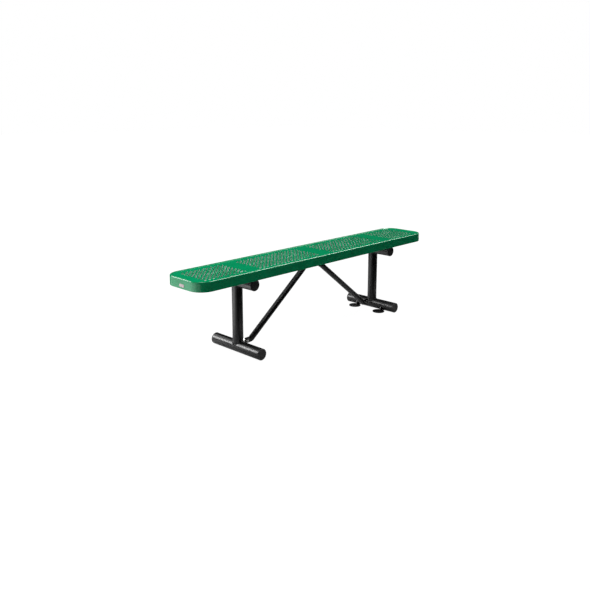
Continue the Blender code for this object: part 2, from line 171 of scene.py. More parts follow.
# Fasteners
BOLT_RADIUS = 0.00475
BOLT_HOLE_RADIUS = 0.0053
HEX_FLATS = 0.0143
HEX_SIDES = 60
HEX_FACE = 0.93
HEAD_HEIGHT = 0.006
HEX_CHAMFER = math.radians(30)
BEARING_FACE = 0.0004
PLAIN_SHANK = 1 / 3
THREAD_PITCH = 0.0016
THREAD_DEPTH = 0.0006
THREAD_ROOT = (0.44, 0.56)
WASHER_EDGE = 0.25
DRILL_SIDES = 32
DRILL_REACH = 0.02

# Materials: the share of a noise value's range that is spread over a colour or a roughness
NOISE_MIDDLE = (0.3, 0.7)

# Studio floor: its colour and glow for the camera, its diffuse level for bounced light, and its
# level in reflections, which fades with the distance in y from SHINE_CENTRE_Y
FLOOR_SIZE = 60.0
FLOOR_DROP = 0.0005
FLOOR_SEEN = (0.06, 0.06, 0.06)
FLOOR_GLOW = 0.97
FLOOR_BOUNCE = 0.28
FLOOR_SHINE = 0.65
SHINE_CENTRE_Y = 0.45
SHINE_FADE = (0.40, 0.90)
WALL_COLOUR = (0.005, 0.005, 0.005)
BACKDROP_COLOUR = (1.0, 1.0, 1.0)

# Soft lights that the camera can't see: (name, place, point aimed at, size, radiance). The panels
# stand round the bench and the boards lie on the floor, facing up.
LIGHTS = (
    ("left_panel", (-2.7, 2.6, 1.7), (-0.6, 0.0, 0.3), (1.7, 1.3), 15.5),
    ("back_panel", (-0.9, 2.8, 2.2), (-0.4, 0.0, 0.2), (2.0, 1.2), 2.2),
    ("left_board", (-1.70, 0.95, 0.004), (-1.70, 0.95, 1.0), (1.4, 1.7), 1.6),
    ("corner_board", (-2.25, -0.45, 0.004), (-2.25, -0.45, 1.0), (0.7, 1.1), 1.2),
    ("side_panel", (-3.0, -0.25, 0.9), (-0.8, 0.0, 0.4), (1.2, 1.0), 1.2),
    ("front_board_left", (-0.46, -0.43, 0.003), (-0.46, -0.43, 1.0), (0.30, 0.14), 1.1),
    ("front_board_right", (0.67, -0.43, 0.003), (0.67, -0.43, 1.0), (0.30, 0.14), 1.4),
    ("right_panel", (3.4, 0.3, 0.6), (0.3, 0.0, 0.3), (2.0, 1.2), 1.2),
)

# Light under the bench that brightens the plank's inside and shows in no reflection
UNDER_LIGHT = ("under_light", (0.0, 0.0, 0.004), (0.0, 0.0, 1.0), (1.70, 0.22), 3.0)

# Distant lights: (name, direction towards the light, width as an angle, strength)
DISTANT_LIGHTS = (
    ("right_key", (0.66, 0.03, 0.75), math.radians(30), 2.8),
    ("top_key", (-0.12, -0.06, 0.99), math.radians(25), 1.6),
)


# Pieces and meshes


def size_of(node):
    low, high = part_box(node)
    return high - low


def centre_of(node):
    low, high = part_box(node)
    return (low + high) / 2


def inward_of(side):
    """The sign of the way along X from a leg to the middle of the bench."""
    return -1 if side == "right" else 1


def shade(mesh):
    mesh.shade_smooth()
    mesh.set_sharp_from_angle(angle=SMOOTH_ANGLE)


def mesh_from(bm, name):
    """A mesh with outward faces, smooth where it is round and sharp at its corners."""
    bmesh.ops.recalc_face_normals(bm, faces=bm.faces)
    mesh = bpy.data.meshes.new(name)
    bm.to_mesh(mesh)
    bm.free()
    shade(mesh)
    return mesh


def add_object(name, data, location=(0.0, 0.0, 0.0), direction=UP):
    """An object whose local +Z points along direction."""
    item = bpy.data.objects.new(name, data)
    bpy.context.scene.collection.objects.link(item)
    item.location = location
    item.rotation_euler = UP.rotation_difference(direction).to_euler()
    return item


def finish_piece(piece, material, nodes):
    """Gives a piece its material and slot, rides it on the one body and hides what it stands for."""
    if not piece.data.materials:
        piece.data.materials.append(material)
    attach(piece, "root")
    if nodes:
        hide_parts(*nodes)
    return piece


def piece_from(name, mesh, material, nodes, location=(0.0, 0.0, 0.0), direction=UP):
    return finish_piece(add_object(name, mesh, location, direction), material, nodes)


def apply_modifiers(item):
    """Replaces the mesh with what its modifiers make of it."""
    graph = bpy.context.evaluated_depsgraph_get()
    mesh = bpy.data.meshes.new_from_object(item.evaluated_get(graph))
    item.modifiers.clear()
    old = item.data
    item.data = mesh
    mesh.name = old.name
    bpy.data.meshes.remove(old)


def combine(item, helpers, operation):
    """Joins or cuts an object with helper objects, and removes the helpers."""
    for helper in helpers:
        boolean = item.modifiers.new("combine", "BOOLEAN")
        boolean.operation = operation
        boolean.object = helper
        boolean.solver = "EXACT"
    apply_modifiers(item)
    for helper in helpers:
        mesh = helper.data
        bpy.data.objects.remove(helper)
        bpy.data.meshes.remove(mesh)


def soften(item, width=EDGE_BEVEL, segments=3):
    """Rounds the sharp edges of a cut or pressed piece."""
    bevel = item.modifiers.new("soften", "BEVEL")
    bevel.width = width
    bevel.segments = segments
    bevel.limit_method = "ANGLE"
    bevel.angle_limit = SMOOTH_ANGLE
    bevel.harden_normals = True
    apply_modifiers(item)


def loft(loops, closed=False):
    """Joins rings of points with quads, and caps both ends unless the rings close on themselves."""
    bm = bmesh.new()
    rings = [[bm.verts.new(point) for point in loop] for loop in loops]
    pairs = list(zip(rings, rings[1:]))
    if closed:
        pairs.append((rings[-1], rings[0]))
    else:
        bm.faces.new(rings[0])
        bm.faces.new(rings[-1])
    for lower, upper in pairs:
        for i in range(len(lower)):
            j = (i + 1) % len(lower)
            bm.faces.new((lower[i], lower[j], upper[j], upper[i]))
    return bm


def circle(radius, z, sides):
    """A ring of (x, y, z) points round Z."""
    angles = [2 * math.pi * i / sides for i in range(sides)]
    return [(radius * math.cos(angle), radius * math.sin(angle), z) for angle in angles]


def turned(profile, sides, closed=False):
    """A body turned about Z from (radius, z) pairs."""
    return loft([circle(radius, z, sides) for radius, z in profile], closed)


def extruded(outline, low, high, axis):
    """A prism along axis 0, 1 or 2. The outline's points give the other two coordinates in order."""
    loops = []
    for height in (low, high):
        points = [list(point) for point in outline]
        for point in points:
            point.insert(axis, height)
        loops.append(points)
    return loft(loops)


def arc(centre, radius, start, end, steps):
    """Points from start to end in degrees, both included."""
    points = []
    for step in range(steps + 1):
        angle = math.radians(start + (end - start) * step / steps)
        points.append((centre[0] + radius * math.cos(angle), centre[1] + radius * math.sin(angle)))
    return points


def rounded_box(low, high, radius, steps=BEND_STEPS):
    """The outline of a rectangle with round corners, anticlockwise."""
    points = []
    corners = ((high[0], high[1], 0), (low[0], high[1], 90), (low[0], low[1], 180), (high[0], low[1], 270))
    for x, y, start in corners:
        inner_x = x - radius if x == high[0] else x + radius
        inner_y = y - radius if y == high[1] else y + radius
        points += arc((inner_x, inner_y), radius, start, start + 90, steps)
    return points


def sheet_outline(corners, thickness, bend):
    """The closed outline of a bent sheet, from the corners of its middle line."""
    path = [Vector(corner) for corner in corners]
    left, right = [], []

    def add(point, normal):
        left.append(point + normal * thickness / 2)
        right.append(point - normal * thickness / 2)

    first = (path[1] - path[0]).normalized()
    add(path[0], Vector((-first.y, first.x)))
    for before, corner, after in zip(path, path[1:], path[2:]):
        come = (corner - before).normalized()
        go = (after - corner).normalized()
        turn = math.atan2(come.x * go.y - come.y * go.x, come.dot(go))
        reach = bend * math.tan(abs(turn) / 2)
        normal = Vector((-come.y, come.x))
        side = math.copysign(1.0, turn)
        centre = corner - come * reach + normal * side * bend
        for step in range(BEND_STEPS + 1):
            angle = turn * step / BEND_STEPS
            cos, sin = math.cos(angle), math.sin(angle)
            spin = Vector((normal.x * cos - normal.y * sin, normal.x * sin + normal.y * cos))
            add(centre - spin * side * bend, spin)
    last = (path[-1] - path[-2]).normalized()
    add(path[-1], Vector((-last.y, last.x)))
    return left + right[::-1]


def drill(item, centres, direction):
    """Bolt holes through an object at the given world positions."""
    profile = [(BOLT_HOLE_RADIUS, -DRILL_REACH), (BOLT_HOLE_RADIUS, DRILL_REACH)]
    rods = []
    for centre in centres:
        rod = mesh_from(turned(profile, DRILL_SIDES), "drill")
        rods.append(add_object("drill", rod, centre, direction))
    combine(item, rods, "DIFFERENCE")


# The plank


def plank_loop(inset, z):
    """Points round the plank's outline, set in from its outer face."""
    half = size_of("seat_plank") / 2
    radius = CORNER_RADIUS - inset
    corner = (half.x - inset, half.y - inset)
    outline = rounded_box((-corner[0], -corner[1]), corner, radius, CORNER_STEPS)
    return [(x, y, z) for x, y in outline]


def loop_normals(across, up):
    """Normals round the outline for a face that tilts inwards by across and upwards by up."""
    normals = []
    for start in (0, 90, 180, 270):
        for step in range(CORNER_STEPS + 1):
            angle = math.radians(start + 90 * step / CORNER_STEPS)
            normals.append((-across * math.cos(angle), -across * math.sin(angle), up))
    return normals


def rim_section(offset):
    """(inset, z, inward, upward) from the panel over the rim to the skirt, for one face of the sheet."""
    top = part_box("seat_plank")[1].z
    side = 1 if offset == 0.0 else -1
    bends = RIM_FOOT_RADIUS + EDGE_RADIUS
    slope_run = (RIM_RISE - bends * (1 - math.cos(RIM_ANGLE))) / math.tan(RIM_ANGLE)
    foot_inset = EDGE_RADIUS + bends * math.sin(RIM_ANGLE) + slope_run
    section = []
    for step in range(RIM_STEPS + 1):
        angle = RIM_ANGLE * step / RIM_STEPS
        sin, cos = math.sin(angle), math.cos(angle)
        inset = foot_inset - (RIM_FOOT_RADIUS + offset) * sin
        z = top - RIM_RISE + RIM_FOOT_RADIUS - (RIM_FOOT_RADIUS + offset) * cos
        section.append((inset, z, side * sin, side * cos))
    for step in range(3 * RIM_STEPS + 1):
        angle = RIM_ANGLE - (RIM_ANGLE + math.pi / 2) * step / (3 * RIM_STEPS)
        sin, cos = math.sin(angle), math.cos(angle)
        inset = EDGE_RADIUS + (EDGE_RADIUS - offset) * sin
        z = top - EDGE_RADIUS + (EDGE_RADIUS - offset) * cos
        section.append((inset, z, side * sin, side * cos))
    return section


def lower_edge_section():
    """The skirt's rounded lower edge."""
    radius = SHEET / 2
    centre_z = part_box("seat_plank")[0].z + radius
    section = []
    for step in range(2 * LOWER_EDGE_STEPS + 1):
        angle = math.pi * step / (2 * LOWER_EDGE_STEPS)
        sin, cos = math.sin(angle), math.cos(angle)
        section.append((radius - radius * cos, centre_z - radius * sin, -cos, -sin))
    return section


def hole_centres():
    """(x, y) of every hole: every other row, shifted by one row from each column to the next."""
    centres = []
    low_y = -(HOLE_ROWS - 1) * HOLE_SPACING / 2
    for first_x, columns, skip in HOLE_FIELDS:
        for column in range(columns):
            for row in range((column + skip) % 2, HOLE_ROWS, 2):
                centres.append((first_x + column * HOLE_SPACING, low_y + row * HOLE_SPACING))
    return centres


def hole_wall():
    """(radius, height above the sheet's middle, outward, upward) down a hole's rounded wall."""
    section = []
    for step in range(HOLE_STEPS + 1):
        angle = math.pi * (0.5 - step / HOLE_STEPS)
        sin, cos = math.sin(angle), math.cos(angle)
        section.append((HOLE_RADIUS + SHEET / 2 * (1 - cos), SHEET / 2 * sin, -cos, sin))
    return section


def flat_triangles(loops):
    """Triangles between an outline and the holes after it, as indices into all their points."""
    points = [Vector(point[:2]) for loop in loops for point in loop]
    edges = []
    start = 0
    for loop in loops:
        edges.append(list(range(start, start + len(loop))))
        start += len(loop)
    result = delaunay_2d_cdt(points, [], edges, KEEP_INSIDE, SAME_POINT)
    source = [originals[0] for originals in result[3]]
    return [tuple(source[i] for i in face) for face in result[2]]


class Sheet:
    """The plank's points, normals and faces as they are added, with the faces that are bare."""

    def __init__(self):
        self.verts = []
        self.normals = []
        self.faces = []
        self.bare = set()

    def ring(self, points, directions):
        first = len(self.verts)
        self.verts.extend(points)
        self.normals.extend(directions)
        return list(range(first, first + len(points)))

    def bridge(self, upper, lower):
        for i in range(len(upper)):
            j = (i + 1) % len(upper)
            self.faces.append((upper[i], lower[i], lower[j], upper[j]))

    def rim_and_skirt(self):
        """Adds the sheet round the panel. Returns the panel's top and bottom outlines."""
        outer_face = rim_section(0.0) + lower_edge_section()
        rings = []
        for inset, z, inward, upward in outer_face + rim_section(SHEET)[::-1]:
            rings.append(self.ring(plank_loop(inset, z), loop_normals(inward, upward)))
        for upper, lower in zip(rings, rings[1:]):
            self.bridge(upper, lower)
        outside = len(rings[0]) * (len(outer_face) - 1)
        self.bare.update(range(outside, len(self.faces)))
        return rings[0], rings[-1]

    def hole(self, centre, middle_z):
        """Adds a hole's wall. Returns its top and bottom rings."""
        spokes = circle(1.0, 0.0, HOLE_SIDES)
        walls = []
        for radius, height, outward, upward in hole_wall():
            z = middle_z + height
            points = [(centre[0] + radius * x, centre[1] + radius * y, z) for x, y, _ in spokes]
            directions = [(x * outward, y * outward, upward) for x, y, _ in spokes]
            walls.append(self.ring(points, directions))
        for upper, lower in zip(walls, walls[1:]):
            self.bridge(lower, upper)
        return walls[0], walls[-1]

    def panel(self, tops, bottoms):
        """Adds the perforated top and bottom between their outlines and the holes' rings."""
        top_index = [i for ring in tops for i in ring]
        bottom_index = [i for ring in bottoms for i in ring]
        for face in flat_triangles([[self.verts[i] for i in ring] for ring in tops]):
            self.faces.append(tuple(top_index[i] for i in face))
            self.bare.add(len(self.faces))
            self.faces.append(tuple(bottom_index[i] for i in reversed(face)))


def plank_mesh():
    """The panel's two faces, the round-edged holes between them, and the rim and skirt."""
    sheet = Sheet()
    top, bottom = sheet.rim_and_skirt()
    middle_z = (sheet.verts[top[0]][2] + sheet.verts[bottom[0]][2]) / 2
    tops, bottoms = [top], [bottom]
    for centre in hole_centres():
        top, bottom = sheet.hole(centre, middle_z)
        tops.append(top)
        bottoms.append(bottom)
    sheet.panel(tops, bottoms)
    mesh = bpy.data.meshes.new("plank_sheet")
    mesh.from_pydata(sheet.verts, [], sheet.faces)
    indices = [int(i in sheet.bare) for i in range(len(sheet.faces))]
    mesh.polygons.foreach_set("material_index", indices)
    mesh.shade_smooth()
    mesh.normals_split_custom_set_from_vertices(sheet.normals)
    return mesh


def plank(outside, inside):
    """The pressed plank: coated outside and through its holes, bare galvanized sheet inside."""
    mesh = plank_mesh()
    mesh.materials.append(outside)
    mesh.materials.append(inside)
    return piece_from("plank_sheet", mesh, outside, ["seat_plank"])


def stiffener(material):
    """A bent channel, open below, along the middle of the plank."""
    low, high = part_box("seat_stiffener")
    half = STIFFENER_SHEET / 2
    right = [(high.y - half, low.z), (high.y - half, high.z - half)]
    corners = right + [(-y, z) for y, z in right[::-1]]
    outline = sheet_outline(corners, STIFFENER_SHEET, STIFFENER_BEND)
    channel = mesh_from(extruded(outline, low.x, high.x, 0), "channel")
    return piece_from("stiffener_channel", channel, material, ["seat_stiffener"])


def label(material):
    """A blank film with a raised border, so thin that only its outline shows."""
    low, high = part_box("blank_label")
    outline = rounded_box((low.y, low.z), (high.y, high.z), LABEL_CORNER)
    item = add_object("label_film", mesh_from(extruded(outline, low.x, high.x, 0), "label_film"))
    inner = rounded_box(
        (low.y + LABEL_BORDER, low.z + LABEL_BORDER),
        (high.y - LABEL_BORDER, high.z - LABEL_BORDER),
        LABEL_CORNER / 2,
    )
    recess = extruded(inner, low.x - LABEL_RECESS, low.x + LABEL_RECESS, 0)
    combine(item, [add_object("recess", mesh_from(recess, "recess"))], "DIFFERENCE")
    return finish_piece(item, material, ["blank_label"])


# Cross members, plates and the centre bracket


def seat_bolt_centres(side):
    return [centre_of(f"seat_bolt_{side}_{number}") for number in SEAT_BOLTS]


def cut_notch(item, middle):
    """Makes room for the stiffener in a cross member."""
    low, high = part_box("seat_stiffener")
    outline = [
        (low.y - NOTCH_GAP, low.z - NOTCH_GAP),
        (high.y + NOTCH_GAP, low.z - NOTCH_GAP),
        (high.y + NOTCH_GAP, high.z + NOTCH_GAP),
        (low.y - NOTCH_GAP, high.z + NOTCH_GAP),
    ]
    block = extruded(outline, middle.x - HAT_CROWN, middle.x + HAT_CROWN, 0)
    combine(item, [add_object("notch", mesh_from(block, "notch"))], "DIFFERENCE")


def cross_member(place, material):
    """A hat section: two brims on the plate below and a crown under the plank."""
    node = f"cross_member_{place}"
    low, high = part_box(node)
    middle = centre_of(node)
    half = HAT_SHEET / 2
    wall = HAT_CROWN / 2 - half
    right = [
        (high.x - middle.x, low.z + half),
        (wall, low.z + half),
        (wall, high.z - half),
    ]
    corners = right + [(-x, z) for x, z in right[::-1]]
    outline = sheet_outline(corners, HAT_SHEET, BEND_RADIUS)
    section = [(middle.x + point.x, point.y) for point in outline]
    item = add_object(f"hat_{place}", mesh_from(extruded(section, low.y, high.y, 1), node))
    cut_notch(item, middle)
    if place != "center":
        drill(item, seat_bolt_centres(place), UP)
    soften(item)
    return finish_piece(item, material, [node])


def mount_plate(side, material):
    """The plate on a top tube, bolted up to the cross member."""
    node = f"mount_plate_{side}"
    low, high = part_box(node)
    outline = rounded_box((low.x, low.y), (high.x, high.y), PLATE_CORNER)
    item = add_object(f"plate_{side}", mesh_from(extruded(outline, low.z, high.z, 2), node))
    drill(item, seat_bolt_centres(side), UP)
    soften(item)
    return finish_piece(item, material, [node])


def centre_bracket(material):
    """A folded angle: its flange is welded up under the middle cross member."""
    low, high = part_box("brace_bracket")
    half = ANGLE_SHEET / 2
    corners = [(low.y + half, low.z), (low.y + half, high.z - half), (high.y, high.z - half)]
    outline = sheet_outline(corners, ANGLE_SHEET, BEND_RADIUS)
    item = add_object("centre_bracket", mesh_from(extruded(outline, low.x, high.x, 0), "centre_bracket"))
    drill(item, [centre_of(f"brace_bolt_top_{side}") for side, _ in SIDES], FRONT)
    soften(item)
    return finish_piece(item, material, ["brace_bracket"])


def ear_root(side, tube, inward, low_z, high_z):
    """The ear's edge at the leg, from its top down the column and round the side of the foot tube."""
    column_side = size_of(f"column_{side}").x / 2 + GAP
    reach = tube.z + GAP
    start = math.acos(column_side / reach)
    end = math.asin((low_z - tube.z) / reach)
    points = [(tube.x + inward * column_side, high_z)]
    for step in range(RIB_STEPS + 1):
        angle = start + (end - start) * step / RIB_STEPS
        points.append((tube.x + inward * reach * math.cos(angle), tube.z + reach * math.sin(angle)))
    return points


def brace_ear(side, material):
    """A plate on the column and the foot tube with round corners at its free end."""
    node = f"brace_ear_{side}"
    low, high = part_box(node)
    tube = centre_of(f"foot_tube_{side}")
    inward = inward_of(side)
    free_x = tube.x + inward * (high.x - low.x + size_of(f"column_{side}").x / 2 + GAP)
    outline = []
    for x, z in rounded_box((0.0, low.z), (abs(free_x - tube.x), high.z), EAR_CORNER):
        if x > EAR_CORNER:
            outline.append((tube.x + inward * x, z))
    outline += ear_root(side, tube, inward, low.z, high.z)
    item = add_object(f"ear_{side}", mesh_from(extruded(outline, low.y, high.y, 1), node))
    drill(item, [centre_of(f"brace_bolt_low_{side}")], FRONT)
    soften(item)
    return finish_piece(item, material, [node])


# The legs


def pipe_mesh(radius, length):
    """A round tube along Z with slightly broken edges at both ends."""
    half = length / 2
    bore = radius - TUBE_WALL
    profile = [
        (bore, -half),
        (radius - TUBE_CHAMFER, -half),
        (radius, -half + TUBE_CHAMFER),
        (radius, half - TUBE_CHAMFER),
        (radius - TUBE_CHAMFER, half),
        (bore, half),
    ]
    return mesh_from(turned(profile, TUBE_SIDES, closed=True), "pipe")


def cross_tube(kind, side, material):
    """The foot tube or the top tube of a leg, which runs across the bench."""
    node = f"{kind}_tube_{side}"
    size = size_of(node)
    mesh = pipe_mesh(size.z / 2, size.y)
    return piece_from(f"{kind}_pipe_{side}", mesh, material, [node], centre_of(node), FRONT)


def plug_mesh(radius, depth):
    """A moulded plug: a dished cap with a round shoulder, and a ribbed spigot in the bore."""
    bore = radius - TUBE_WALL
    core = bore - PLUG_RIB
    profile = [(AXIS_GAP, PLUG_CAP - PLUG_DISH)]
    profile.append((PLUG_DISH_RADIUS, PLUG_CAP - PLUG_DISH))
    profile.append((PLUG_DISH_RADIUS + PLUG_DISH, PLUG_CAP))
    profile += arc((radius - PLUG_SHOULDER, PLUG_CAP - PLUG_SHOULDER), PLUG_SHOULDER, 90, 0, BEND_STEPS)
    profile += [(radius, 0.0), (bore - GAP, 0.0)]
    pitch = (depth - PLUG_CAP) / PLUG_RIBS
    for rib in range(PLUG_RIBS):
        for radius, share in zip((core, core, bore - GAP), PLUG_RIB_SHAPE):
            profile.append((radius, -rib * pitch - pitch * share))
    profile.append((core, PLUG_CAP - depth))
    return mesh_from(turned(profile, TUBE_SIDES), "plug")


def plugs(kind, side, material):
    """The two plugs of a cross tube, with their caps outwards."""
    for end, direction in ENDS:
        node = f"{kind}_plug_{end}_{side}"
        size = size_of(node)
        mesh = plug_mesh(size.z / 2, size.y)
        place = centre_of(node) + direction * (size.y / 2 - PLUG_CAP)
        piece_from(f"{kind}_cap_{end}_{side}", mesh, material, [node], place, direction)


def saddle_height(x, tube_radius):
    """How far above a cross tube's axis the column's end lies, at a distance from the tube's middle."""
    return math.sqrt((tube_radius + GAP) ** 2 - x * x)


def column(side, material):
    """The upright tube, coped at both ends to sit on the foot tube and under the top tube."""
    node = f"column_{side}"
    middle = centre_of(node)
    foot = centre_of(f"foot_tube_{side}").z
    top = centre_of(f"top_tube_{side}").z
    outer = size_of(node).x / 2
    bore = outer - TUBE_WALL
    loops = []
    for radius, sign in ((outer, 1), (outer, -1), (bore, -1), (bore, 1)):
        axis = foot if sign > 0 else top
        loop = []
        for x, y, _ in circle(radius, 0.0, COLUMN_SIDES):
            loop.append((middle.x + x, middle.y + y, axis + sign * saddle_height(x, foot)))
        loops.append(loop)
    mesh = mesh_from(loft(loops, closed=True), f"post_{side}")
    return piece_from(f"post_{side}", mesh, material, [node])


# Weld beads


def bead_mesh(path, closed, radius=BEAD_RADIUS):
    """A bead along a path of points, swollen at each pool of the weld."""
    count = len(path)
    loops = []
    along = 0.0
    for i, point in enumerate(path):
        before = path[i - 1] if closed or i > 0 else point
        after = path[(i + 1) % count] if closed or i < count - 1 else point
        tangent = (after - before).normalized()
        side = side - tangent * side.dot(tangent) if loops else tangent.orthogonal()
        side.normalize()
        other = tangent.cross(side)
        swell = radius * (1 + BEAD_SWELL * math.sin(2 * math.pi * along / BEAD_RIPPLE))
        if not closed:
            share = min((i + BEAD_END_OFFSET) / count, 1.0)
            swell *= math.sin(math.pi * share) ** BEAD_END_FADE
        loop = []
        for step in range(BEAD_SIDES):
            angle = 2 * math.pi * step / BEAD_SIDES
            loop.append(point + (side * math.cos(angle) + other * math.sin(angle)) * swell)
        loops.append(loop)
        along += (after - point).length
    return mesh_from(loft(loops, closed), "bead")


def line_path(start, end):
    """Points along a straight bead, several to each of its ripples."""
    pitch = BEAD_RIPPLE / POINTS_PER_RIPPLE
    count = max(int((end - start).length / pitch), SHORTEST_PATH)
    return [start.lerp(end, step / count) for step in range(count + 1)]


def column_weld(side, place, material):
    """The bead round the saddle where the column meets a cross tube."""
    middle = centre_of(f"column_{side}")
    axis = centre_of(f"{place}_tube_{side}").z
    sign = 1 if place == "foot" else -1
    tube_radius = size_of(f"{place}_tube_{side}").z / 2
    radius = size_of(f"column_{side}").x / 2
    path = []
    for x, y, _ in circle(radius, 0.0, SADDLE_POINTS):
        path.append(Vector((middle.x + x, middle.y + y, axis + sign * saddle_height(x, tube_radius))))
    mesh = bead_mesh(path, True)
    return piece_from(f"weld_{place}_{side}", mesh, material, [])


# Ground discs


def disc_mesh(radius):
    """A round plate with a bolt hole and broken edges."""
    rim = radius - EDGE_BEVEL
    shoulder = DISC_THICKNESS - EDGE_BEVEL
    profile = [(ANCHOR_HOLE_RADIUS, 0.0)]
    profile += arc((rim, EDGE_BEVEL), EDGE_BEVEL, -90, 0, EDGE_STEPS)
    profile += arc((rim, shoulder), EDGE_BEVEL, 0, 90, EDGE_STEPS)
    profile += [(ANCHOR_HOLE_RADIUS + EDGE_BEVEL, DISC_THICKNESS), (ANCHOR_HOLE_RADIUS, shoulder)]
    return mesh_from(turned(profile, TUBE_SIDES, closed=True), "disc")


def anchor_disc(end, side, material):
    """A disc on the ground with its bolt hole, and the rib that ties it to the foot tube."""
    node = f"anchor_disc_{end}_{side}"
    low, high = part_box(node)
    tube = centre_of(f"foot_tube_{side}")
    inward = inward_of(side)
    disc_x = tube.x + inward * DISC_OFFSET
    y = (low.y + high.y) / 2
    mesh = disc_mesh((high.y - low.y) / 2)
    item = add_object(f"disc_{end}_{side}", mesh, (disc_x, y, low.z))
    rib = extruded(rib_outline(tube, inward), y - RIB_THICKNESS / 2, y + RIB_THICKNESS / 2, 1)
    combine(item, [add_object("rib", mesh_from(rib, "rib"))], "UNION")
    finish_piece(item, material, [node])
    for face in (-1, 1):
        bead_y = y + face * RIB_THICKNESS / 2
        start = Vector((tube.x + inward * RIB_START, bead_y, DISC_THICKNESS))
        stop = Vector((tube.x + inward * RIB_REACH, bead_y, DISC_THICKNESS))
        mesh = bead_mesh(line_path(start, stop), False, SMALL_BEAD)
        name = "outer" if face * y > 0 else "inner"
        piece_from(f"weld_rib_{name}_{end}_{side}", mesh, material, [])


def rib_outline(tube, inward):
    """A rib that hugs the foot tube down to the disc."""
    radius = tube.z + GAP
    foot_z = DISC_THICKNESS - RIB_OVERLAP
    sweep = math.asin((tube.z - foot_z) / radius)
    points = []
    for step in range(RIB_STEPS + 1):
        angle = sweep * step / RIB_STEPS
        points.append((tube.x + inward * radius * math.cos(angle), tube.z - radius * math.sin(angle)))
    points.append((tube.x + inward * RIB_REACH, foot_z))
    points.append((tube.x + inward * RIB_REACH, DISC_THICKNESS + RIB_OVERLAP))
    return points


# The braces


def brace_point(along, top, knee, low):
    """Position and direction at a distance from the top bolt, with the knee rounded off."""
    run = (knee - top).length
    upper = (knee - top) / run
    lower = (low - knee).normalized()
    past = along - run
    if past <= -BRACE_BEND:
        return top + upper * along, upper
    if past >= BRACE_BEND:
        return knee + lower * past, lower
    start = knee - upper * BRACE_BEND
    end = knee + lower * BRACE_BEND
    t = (past + BRACE_BEND) / (2 * BRACE_BEND)
    point = start * (1 - t) ** 2 + knee * 2 * t * (1 - t) + end * t**2
    return point, (upper * (1 - t) + lower * t).normalized()


def smooth_step(t):
    """Goes from 0 to 1 with no slope at either end."""
    return t * t * (3 - 2 * t)


def brace_stations(total, bend_at):
    """(distance from the top bolt, half thickness, width factor) from tip to tip."""
    end = []
    for step in range(TIP_STEPS + 1):
        angle = math.pi / 2 * step / TIP_STEPS
        round_off = TIP_WIDTH + (1 - TIP_WIDTH) * math.sin(angle) ** TIP_WIDTH_POWER
        reach = BRACE_TIP * math.cos(angle) ** TIP_REACH_POWER
        end.append((-reach, BRACE_FLAT, BRACE_TRIM * round_off))
    for step in range(TAPER_STEPS + 1):
        t = step / TAPER_STEPS
        half = BRACE_FLAT + (BRACE_RADIUS - BRACE_FLAT) * smooth_step(t)
        end.append((BRACE_FLAT_RUN + BRACE_TAPER * t, half, BRACE_TRIM + (1 - BRACE_TRIM) * smooth_step(t)))
    back = [(total - along, half, width) for along, half, width in reversed(end)]
    bend = []
    for step in range(KNEE_STEPS + 1):
        along = bend_at + BRACE_BEND * (2 * step / KNEE_STEPS - 1)
        if end[-1][0] < along < back[0][0]:
            bend.append((along, BRACE_RADIUS, 1.0))
    return end + bend + back


def brace_loop(place, direction, half, width, wall):
    """A ring round the brace. At width 1 its girth stays that of the round tube as it flattens."""
    across = Vector((-direction.z, 0.0, direction.x))
    spread = width * math.pi * (BRACE_RADIUS - half) / 2
    points = []
    for shift, start in ((spread, -90), (-spread, 90)):
        for x, y in arc((shift, 0.0), half - wall, start, start + 180, BRACE_END_STEPS):
            point = place + across * x
            points.append(Vector((point.x, point.y + y, point.z)))
    return points


def brace(side, sign, material):
    """A tube crushed flat at its ends, where its bore runs out as a thin slit."""
    node = f"brace_{side}"
    top = centre_of(f"brace_washer_top_{side}")
    low = centre_of(f"brace_washer_low_{side}")
    top.y = low.y = centre_of(node).y
    knee = Vector((low.x - sign * KNEE_RUN, low.y, low.z + KNEE_RISE))
    total = (knee - top).length + (low - knee).length
    outer, inner = [], []
    for along, half, width in brace_stations(total, (knee - top).length):
        place, direction = brace_point(along, top, knee, low)
        outer.append(brace_loop(place, direction, half, width, 0.0))
        inner.append(brace_loop(place, direction, half, width, BRACE_WALL))
    item = add_object(f"brace_tube_{side}", mesh_from(loft(outer + inner[::-1], closed=True), node))
    drill(item, [top, low], FRONT)
    shade(item.data)
    return finish_piece(item, material, [node])


# Fasteners, with their bearing faces at z = 0 and pointing up before they are placed


def hex_radius(angle, flat):
    """A hexagon's radius at an angle, where flat is half its width across flats."""
    return flat / math.cos(angle % (math.pi / 3) - math.pi / 6)


def hex_loop(z, flat, chamfer):
    """A hexagon with many points on each flat. Chamfer 1 or -1 drops or lifts its corners."""
    points = []
    for i in range(HEX_SIDES):
        angle = 2 * math.pi * i / HEX_SIDES
        radius = hex_radius(angle, flat)
        drop = chamfer * (radius - HEX_FACE * flat) * math.tan(HEX_CHAMFER)
        points.append((radius * math.cos(angle), radius * math.sin(angle), z - drop))
    return points


def threaded(start, end):
    """(radius, z) pairs of a threaded shank from start to end."""
    root = BOLT_RADIUS - THREAD_DEPTH
    profile = []
    turns = int((end - start - THREAD_DEPTH) / THREAD_PITCH)
    for turn in range(turns):
        z = start + turn * THREAD_PITCH
        profile.append((BOLT_RADIUS, z))
        for share in THREAD_ROOT:
            profile.append((root, z + share * THREAD_PITCH))
    z = start + turns * THREAD_PITCH
    profile.append((BOLT_RADIUS, z))
    profile.append((BOLT_RADIUS, end - THREAD_DEPTH))
    profile.append((root, end))
    return profile


